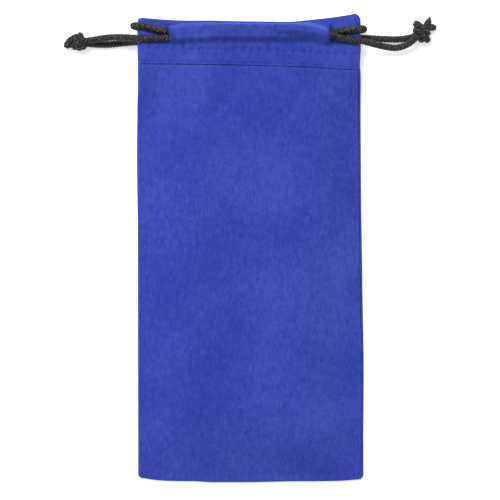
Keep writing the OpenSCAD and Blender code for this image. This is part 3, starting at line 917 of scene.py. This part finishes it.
frontFace = lambda x, y: frontOuter(x, y, True)
backFace = lambda x, y: backOuter(x, y, True) - 0.12
for word, side in (("Left", -1), ("Right", 1)):
    count = threadPlan["rowCount"]
    x = (np.arange(count) - (count - 1) / 2) * pouch["stitchPitch"] + pouch["rowsShift"]
    x = x[(x * side > 0) & (np.abs(x) < pouch["rowsHalf"])]
    length = pouch["stitchPitch"] * threadPlan["stitchShare"]
    for row, rowY in (("Channel", channelRow(x) - 0.8), ("Hem", hemRow(x))):
        at = np.stack([x, rowY], 1)
        for face, height in (("front", frontFace), ("back", backFace)):
            threadPiece(f"{face}{row}Stitches{word}", stitches(at, height, length, -0.02),
                        [f"{face}_{row.lower()}_stitching"], side)


def seamThread(name, node, along, side):
    # the lock stitches that hold a seam, inside the pouch beside its edge
    plan, pitch = seamPlan, pouch["stitchPitch"]
    t = np.linspace(-1, 1, 5)
    if along == "y":
        mid = np.arange(-halfL + plan["fromEnd"], plan["sideTop"], pitch)[:, None]
        x, y = plan["sideX"] + 0 * mid * t, mid + t * pitch * plan["halfStitch"]
    else:
        mid = np.arange(-halfW + plan["fromEnd"], halfW - plan["fromRight"], pitch)[:, None]
        x, y = mid + t * pitch * plan["halfStitch"], plan["bottomY"] + 0 * mid * t
    z = plan["height"] - plan["dip"] * t**2 + 0 * x
    made = threads(x, y, z, upward, threadPlan["fineRadius"])
    threadPiece(name, made, [node], side)


seamThread("sideSeamThread", "side_seam_thread", "y", 1)
seamThread("bottomSeamThread", "bottom_seam_thread", "x", 0)


def slitAt(side, y):  # x of a slit's middle line
    return (edgeX(side, y) - side * edgeR(y)) * pouch["slitX"] / pouch["halfFlat"]


def buttonhole(name, node, side, face):
    # Close stitches over both lips: each comes up through the ply, bends over the lip
    # and goes back under it. A bar of three longer stitches closes each end.
    plan = buttonholePlan
    low, high = pouch["slitLow"], pouch["slitHigh"]
    y = np.arange(low + 0.25, high - 0.2, plan["step"])
    outward = 1 if face == "front" else -1
    height = frontOuter if face == "front" else backOuter
    parts = []
    reach, rise = np.array(plan["reach"]), np.array(plan["rise"])
    for inboard in (True, False):
        lips = smooth((y - low) / 1.5) * smooth((high - y) / 1.5)
        apart = pouch["lipIn"] if inboard else pouch["lipOut"]
        lip = slitAt(side, y) + lips * (side * apart + leanOf(side, y))
        away = -side if inboard else side
        x = lip[:, None] + away * reach
        wander = plan["wander"] * softNoise(y, y, 0.4, 0.4, 41)[:, None]
        yy = y[:, None] + wander + 0 * x
        edge = np.abs(lip)[:, None]
        onLip = np.where(inboard, np.minimum(np.abs(x), edge), np.maximum(np.abs(x), edge))
        z = height(side * onLip, yy, inboard) + outward * rise
        parts.append(threads(x, yy, z, northward, threadPlan["fineRadius"]))
    t = np.linspace(-1, 1, 7)
    for barY in (low - plan["barFromSlit"], high + plan["barFromSlit"]):
        x = slitAt(side, barY) + t * np.array(plan["barHalves"])[:, None]
        yy = barY + np.array(plan["barPlaces"])[:, None] + 0 * x
        z = height(x, yy, True) + outward * (0.1 - 0.25 * np.abs(t) ** 3)
        parts.append(threads(x, yy, z, northward, threadPlan["barRadius"]))
    threadPiece(name, joined(parts), [node], side)


for face in ("front", "back"):
    for word, side in (("Left", -1), ("Right", 1)):
        node = f"{face}_{word.lower()}_buttonhole"
        buttonhole(f"{face}{word}Buttonhole", node, side, face)
print("thread made")

# Floor and light
studio = {"floor": "#f4f4f4", "floorGlow": 0.52, "floorHalf": 3.0, "floorZ": -0.0001,
          "skyStrength": 0.45,
          "keyPlace": (-0.5, 0.75, 1.45), "keySize": 0.7, "keyWatts": 25.5}
floorMaterial, _, floorShader = startMaterial("white acrylic, lit from below")
floorShader.inputs["Base Color"].default_value = linear(studio["floor"])
floorShader.inputs["Emission Color"].default_value = (1, 1, 1, 1)
floorShader.inputs["Emission Strength"].default_value = studio["floorGlow"]
floorShader.inputs["Roughness"].default_value = 1.0
floorShader.inputs["Specular IOR Level"].default_value = 0.0
floorMesh = bpy.data.meshes.new("floor")
floorCorners = [(x * studio["floorHalf"], y * studio["floorHalf"], studio["floorZ"])
                for x, y in ((-1, -1), (1, -1), (1, 1), (-1, 1))]
floorMesh.from_pydata(floorCorners, [], [(0, 1, 2, 3)])
floorMesh.materials.append(floorMaterial)
floor = bpy.data.objects.new("floor", floorMesh)
bpy.context.scene.collection.objects.link(floor)

keyData = bpy.data.lights.new("keyLight", "AREA")
keyData.size = studio["keySize"]
keyData.energy = studio["keyWatts"]
key = bpy.data.objects.new("keyLight", keyData)
key.location = studio["keyPlace"]
reachX, reachY, reachZ = studio["keyPlace"]
key.rotation_euler = (0, math.atan2(math.hypot(reachX, reachY), reachZ),
                      math.atan2(reachY, reachX))
bpy.context.scene.collection.objects.link(key)

world = bpy.data.worlds.new("studio")
world.use_nodes = True
sky = world.node_tree.nodes["Background"]
sky.inputs["Color"].default_value = (1, 1, 1, 1)
sky.inputs["Strength"].default_value = studio["skyStrength"]
bpy.context.scene.world = world
bpy.context.scene.view_settings.view_transform = "Standard"
print("studio made")
